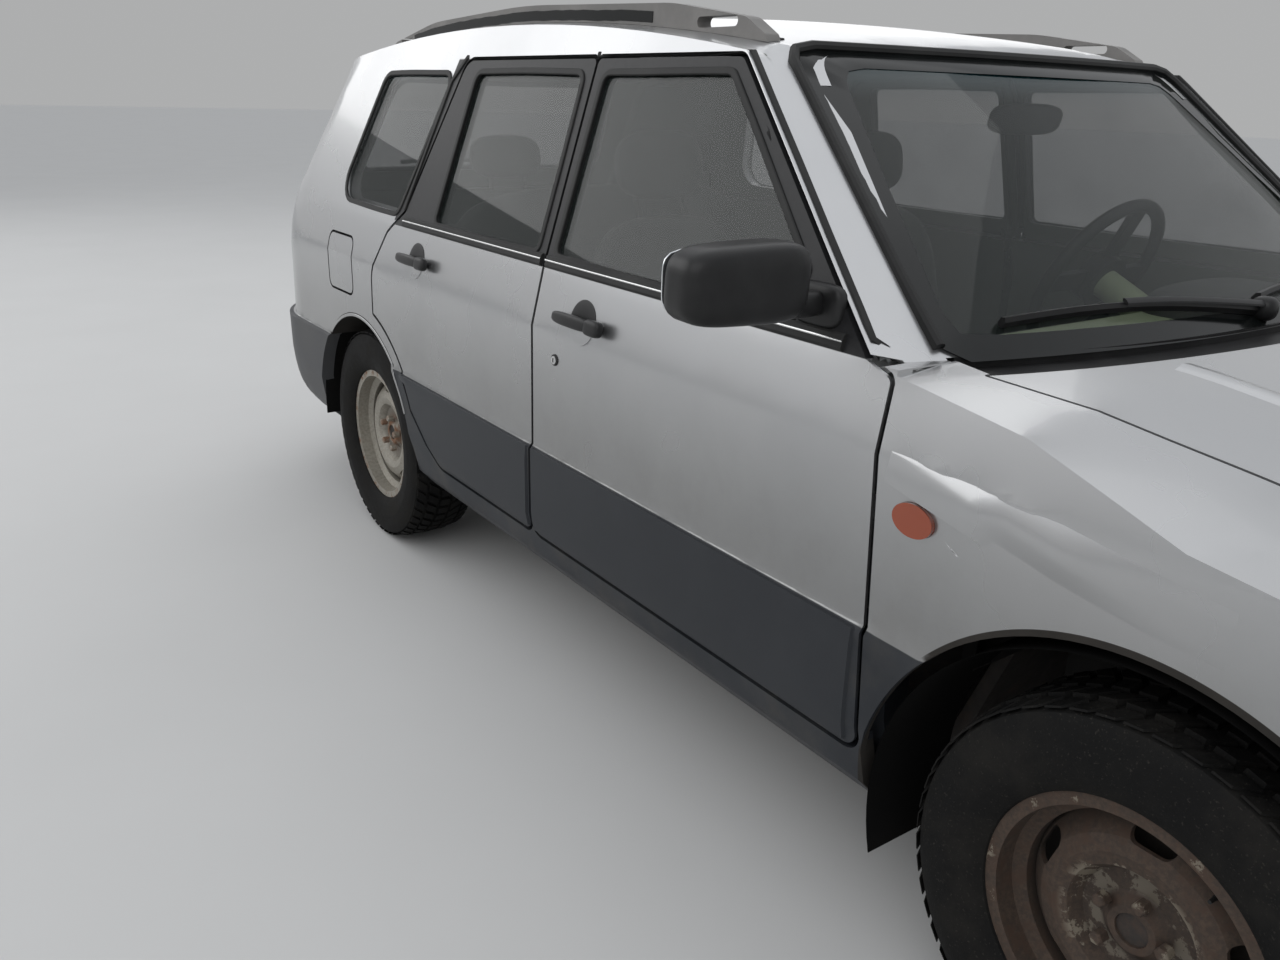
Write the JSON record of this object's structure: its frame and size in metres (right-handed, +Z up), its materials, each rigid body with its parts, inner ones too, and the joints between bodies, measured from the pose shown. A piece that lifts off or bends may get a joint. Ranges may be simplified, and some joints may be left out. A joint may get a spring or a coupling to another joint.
{
  "type": "compact suv",
  "caption": "Five-door compact off-road estate car with doors, bonnet, tailgate and fuel flap that open, and wheels that steer and roll.",
  "frame": {"origin": "on the ground under the middle of the car's length and width", "axes": "+Y towards the tail, -Y towards the nose, +Z up, +X towards the car's left side"},
  "size_m": [2.196, 4.45, 1.5488],
  "materials": {
    "silver_paint": "metallic, lightly scratched, dark band along the foot",
    "bumper_plastic": "satin, grained",
    "lamp_lens": "clear moulded lens",
    "rear_lamp_lens": "red moulded lens",
    "black_plastic": "satin",
    "primed_steel": "dull primer",
    "rail_plastic": "matt, grained",
    "cast_metal": "rough casting",
    "exhaust_steel": "dull, browned",
    "tank_plastic": "matt",
    "chassis_steel": "dull black with rust",
    "trim_plastic": "grained, pale grey green",
    "steering_plastic": "satin",
    "seat_fabric": "woven",
    "window_glass": "green tinted, clear",
    "tyre_rubber": "matt rubber",
    "wheel_steel": "pale paint worn to rust"
  },
  "bodies": {
    "body": {"side_frame_right": "silver_paint", "side_frame_left": "silver_paint", "roof_panel": "silver_paint", "front_wings": "silver_paint", "front_bumper": "bumper_plastic", "front_lamps": "lamp_lens", "grille": "black_plastic", "scuttle": "black_plastic", "front_structure": "primed_steel", "floor_pan": "primed_steel", "rear_bumper": "bumper_plastic", "tail_lamps": "rear_lamp_lens", "roof_rails": "rail_plastic", "powertrain": "cast_metal", "exhaust": "exhaust_steel", "fuel_tank": "tank_plastic", "front_suspension": "chassis_steel", "rear_suspension": "chassis_steel", "cabin_trim": "trim_plastic", "rear_seat": "seat_fabric", "fixed_glass": "window_glass", "front_seats": "seat_fabric"},
    "bonnet_lid": {"bonnet": "silver_paint"},
    "tailgate_lid": {"tailgate": "silver_paint", "tailgate_glass": "window_glass"},
    "fuel_flap_lid": {"fuel_flap": "silver_paint"},
    "steering_column_wheel": {"steering_wheel": "steering_plastic"},
    "front_door_right_leaf": {"front_door_right": "silver_paint", "front_door_glass_right": "window_glass", "front_door_fittings_right": "black_plastic"},
    "front_door_left_leaf": {"front_door_left": "silver_paint", "front_door_glass_left": "window_glass", "front_door_fittings_left": "black_plastic"},
    "rear_door_right_leaf": {"rear_door_right": "silver_paint", "rear_door_glass_right": "window_glass", "rear_door_fittings_right": "black_plastic"},
    "rear_door_left_leaf": {"rear_door_left": "silver_paint", "rear_door_glass_left": "window_glass", "rear_door_fittings_left": "black_plastic"},
    "front_right_hub": {"knuckle_right": "chassis_steel"},
    "front_left_hub": {"knuckle_left": "chassis_steel"},
    "front_right_road_wheel": {"front_tyre_right": "tyre_rubber", "front_wheel_right": "wheel_steel"},
    "front_left_road_wheel": {"front_tyre_left": "tyre_rubber", "front_wheel_left": "wheel_steel"},
    "rear_right_road_wheel": {"rear_tyre_right": "tyre_rubber", "rear_wheel_right": "wheel_steel"},
    "rear_left_road_wheel": {"rear_tyre_left": "tyre_rubber", "rear_wheel_left": "wheel_steel"}
  },
  "joints": [
    {"name": "front_door_right_open", "type": "hinge", "parent": "body", "child": "front_door_right_leaf", "pos_m": [-0.851, -0.86259, 0.5], "axis": [0.0233, 0.0609, 0.9979], "range_deg": [0, 65]},
    {"name": "front_door_left_open", "type": "hinge", "parent": "body", "child": "front_door_left_leaf", "pos_m": [0.851, -0.86259, 0.5], "axis": [0.0233, -0.0609, -0.9979], "range_deg": [0, 65]},
    {"name": "rear_door_right_open", "type": "hinge", "parent": "body", "child": "rear_door_right_leaf", "pos_m": [-0.851, 0.17, 0.5], "axis": [0.0233, 0, 0.9997], "range_deg": [0, 65]},
    {"name": "rear_door_left_open", "type": "hinge", "parent": "body", "child": "rear_door_left_leaf", "pos_m": [0.851, 0.17, 0.5], "axis": [0.0233, 0, -0.9997], "range_deg": [0, 65]},
    {"name": "bonnet_open", "type": "hinge", "parent": "body", "child": "bonnet_lid", "pos_m": [0, -0.932, 1.006], "axis": [-1, 0, 0], "range_deg": [0, 55]},
    {"name": "tailgate_open", "type": "hinge", "parent": "body", "child": "tailgate_lid", "pos_m": [0, 1.65, 1.466], "axis": [1, 0, 0], "range_deg": [0, 80]},
    {"name": "fuel_flap_open", "type": "hinge", "parent": "body", "child": "fuel_flap_lid", "pos_m": [-0.847, 1.255, 0.85], "axis": [0, 0, 1], "range_deg": [0, 85]},
    {"name": "steer_right", "type": "hinge", "parent": "body", "child": "front_right_hub", "pos_m": [-0.69, -1.335, 0.2], "axis": [0.1862, 0, 0.9825], "range_deg": [-35, 35]},
    {"name": "steer_left", "type": "hinge", "parent": "body", "child": "front_left_hub", "pos_m": [0.69, -1.335, 0.2], "axis": [-0.1862, 0, 0.9825], "range_deg": [-35, 35]},
    {"name": "steering_wheel_turn", "type": "hinge", "parent": "body", "child": "steering_column_wheel", "pos_m": [0.34, -0.43, 0.985], "axis": [0, 0.9063, 0.4226], "range_deg": [-560, 560]},
    {"name": "front_right_wheel_roll", "type": "hinge", "parent": "front_right_hub", "child": "front_right_road_wheel", "pos_m": [-0.733, -1.335, 0.33], "axis": [1, 0, 0], "continuous": true},
    {"name": "front_left_wheel_roll", "type": "hinge", "parent": "front_left_hub", "child": "front_left_road_wheel", "pos_m": [0.733, -1.335, 0.33], "axis": [1, 0, 0], "continuous": true},
    {"name": "rear_right_wheel_roll", "type": "hinge", "parent": "body", "child": "rear_right_road_wheel", "pos_m": [-0.733, 1.19, 0.33], "axis": [1, 0, 0], "continuous": true},
    {"name": "rear_left_wheel_roll", "type": "hinge", "parent": "body", "child": "rear_left_road_wheel", "pos_m": [0.733, 1.19, 0.33], "axis": [1, 0, 0], "continuous": true}
  ],
  "couplings": [
    {"joint": "steer_left", "follows": "steer_right", "ratio": 1},
    {"joint": "steering_wheel_turn", "follows": "steer_right", "ratio": 16}
  ]
}
